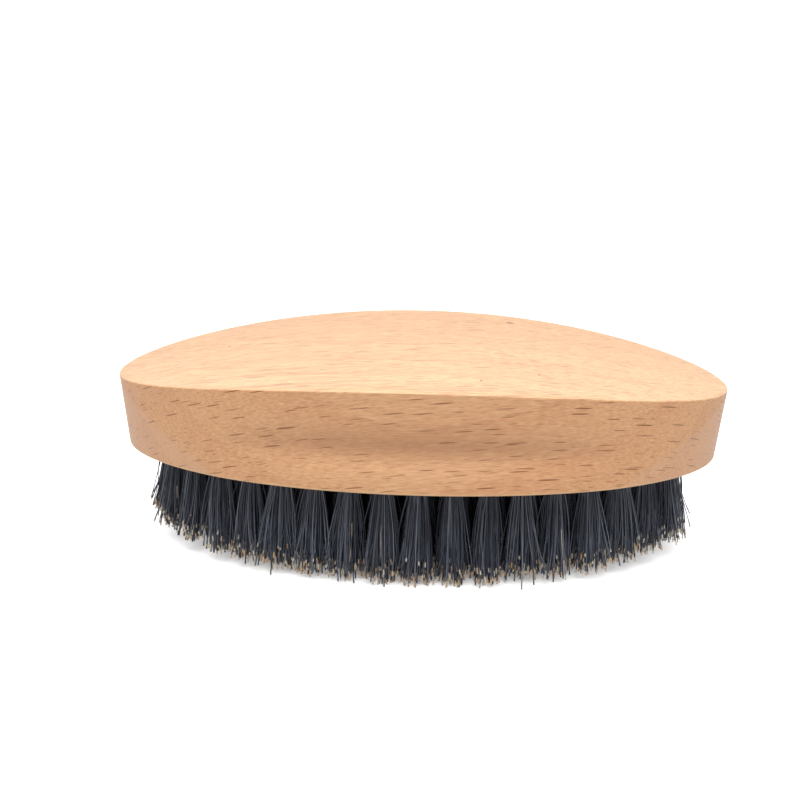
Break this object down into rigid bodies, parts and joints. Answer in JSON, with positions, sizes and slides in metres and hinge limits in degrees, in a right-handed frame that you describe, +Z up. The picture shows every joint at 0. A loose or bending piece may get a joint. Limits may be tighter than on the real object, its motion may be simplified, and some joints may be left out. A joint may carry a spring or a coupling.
{
  "type": "beard brush",
  "caption": "Oval palm beard brush: an arched beech block with shallow finger grooves, and dark boar bristle tufts set in rings in its flat underside.",
  "frame": {"origin": "centre of the footprint, on the plane that the longest bristle tips stand on", "axes": "+X along the brush's length, +Y across it, +Z up from the bristle tips to the arched top of the block"},
  "size_m": [0.125, 0.063, 0.0414],
  "materials": {
    "beech_wood": "satin",
    "boar_bristle": "satin",
    "anchor_wire": "satin"
  },
  "bodies": {
    "root": {"wooden_block": "beech_wood", "outer_tuft_01": "boar_bristle", "outer_tuft_02": "boar_bristle", "outer_tuft_03": "boar_bristle", "outer_tuft_04": "boar_bristle", "outer_tuft_05": "boar_bristle", "outer_tuft_06": "boar_bristle", "outer_tuft_07": "boar_bristle", "outer_tuft_08": "boar_bristle", "outer_tuft_09": "boar_bristle", "outer_tuft_10": "boar_bristle", "outer_tuft_11": "boar_bristle", "outer_tuft_12": "boar_bristle", "outer_tuft_13": "boar_bristle", "outer_tuft_14": "boar_bristle", "outer_tuft_15": "boar_bristle", "outer_tuft_16": "boar_bristle", "outer_tuft_17": "boar_bristle", "outer_tuft_18": "boar_bristle", "outer_tuft_19": "boar_bristle", "outer_tuft_20": "boar_bristle", "outer_tuft_21": "boar_bristle", "outer_tuft_22": "boar_bristle", "outer_tuft_23": "boar_bristle", "outer_tuft_24": "boar_bristle", "outer_tuft_25": "boar_bristle", "outer_tuft_26": "boar_bristle", "outer_tuft_27": "boar_bristle", "outer_tuft_28": "boar_bristle", "outer_tuft_29": "boar_bristle", "outer_tuft_30": "boar_bristle", "outer_tuft_31": "boar_bristle", "outer_tuft_32": "boar_bristle", "outer_tuft_33": "boar_bristle", "outer_tuft_34": "boar_bristle", "outer_tuft_35": "boar_bristle", "outer_tuft_36": "boar_bristle", "second_ring_tufts_01": "boar_bristle", "second_ring_tufts_02": "boar_bristle", "second_ring_tufts_03": "boar_bristle", "second_ring_tufts_04": "boar_bristle", "second_ring_tufts_05": "boar_bristle", "second_ring_tufts_06": "boar_bristle", "second_ring_tufts_07": "boar_bristle", "second_ring_tufts_08": "boar_bristle", "second_ring_tufts_09": "boar_bristle", "second_ring_tufts_10": "boar_bristle", "second_ring_tufts_11": "boar_bristle", "second_ring_tufts_12": "boar_bristle", "second_ring_tufts_13": "boar_bristle", "second_ring_tufts_14": "boar_bristle", "third_ring_tufts_01": "boar_bristle", "third_ring_tufts_02": "boar_bristle", "third_ring_tufts_03": "boar_bristle", "third_ring_tufts_04": "boar_bristle", "third_ring_tufts_05": "boar_bristle", "centre_row_tufts_01": "boar_bristle", "centre_row_tufts_02": "boar_bristle", "centre_row_tufts_03": "boar_bristle"}
  },
  "joints": []
}
